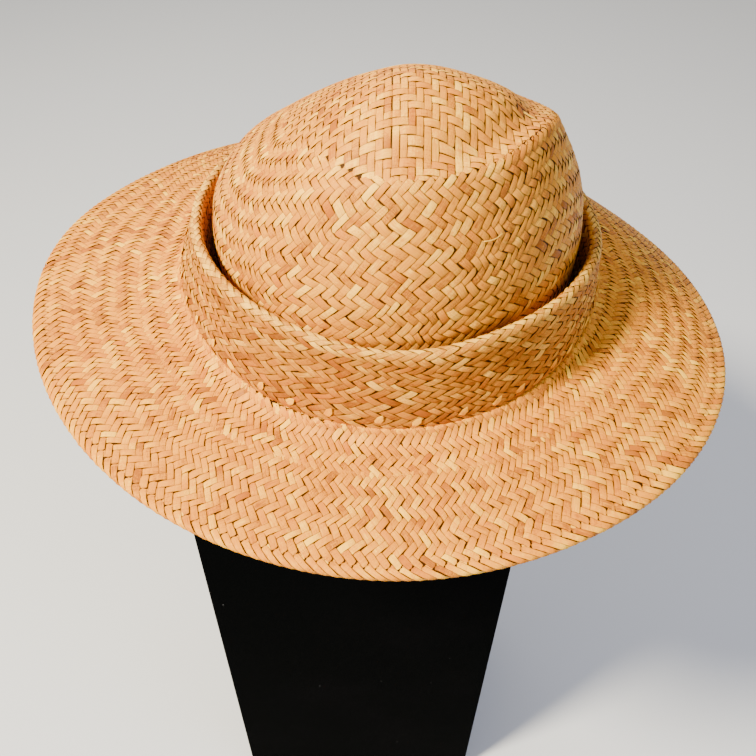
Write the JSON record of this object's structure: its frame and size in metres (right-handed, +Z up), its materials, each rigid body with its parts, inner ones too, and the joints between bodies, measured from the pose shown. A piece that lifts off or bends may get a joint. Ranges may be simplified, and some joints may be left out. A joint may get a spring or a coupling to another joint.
{
  "type": "woven hat on a display stand",
  "caption": "Plaited straw hat with a domed crown inside a turned-up collar and a broad drooping brim, lying on a tall plain square stand.",
  "frame": {"origin": "middle of the stand's foot, on the surface it stands on", "axes": "+Z up the stand, -Y towards the hat's front and the viewer, +X to the right of that viewer"},
  "size_m": [0.3502, 0.3762, 0.5923],
  "materials": {
    "straw": "flat honey-coloured plaited straw strands in a twill, satin, with pale and reddish strands among them",
    "velvet": "black short-pile cloth that takes almost all light, with a few specks of lint"
  },
  "bodies": {
    "root": {"crown": "straw", "collar": "straw", "brim": "straw", "stand": "velvet"}
  },
  "joints": []
}
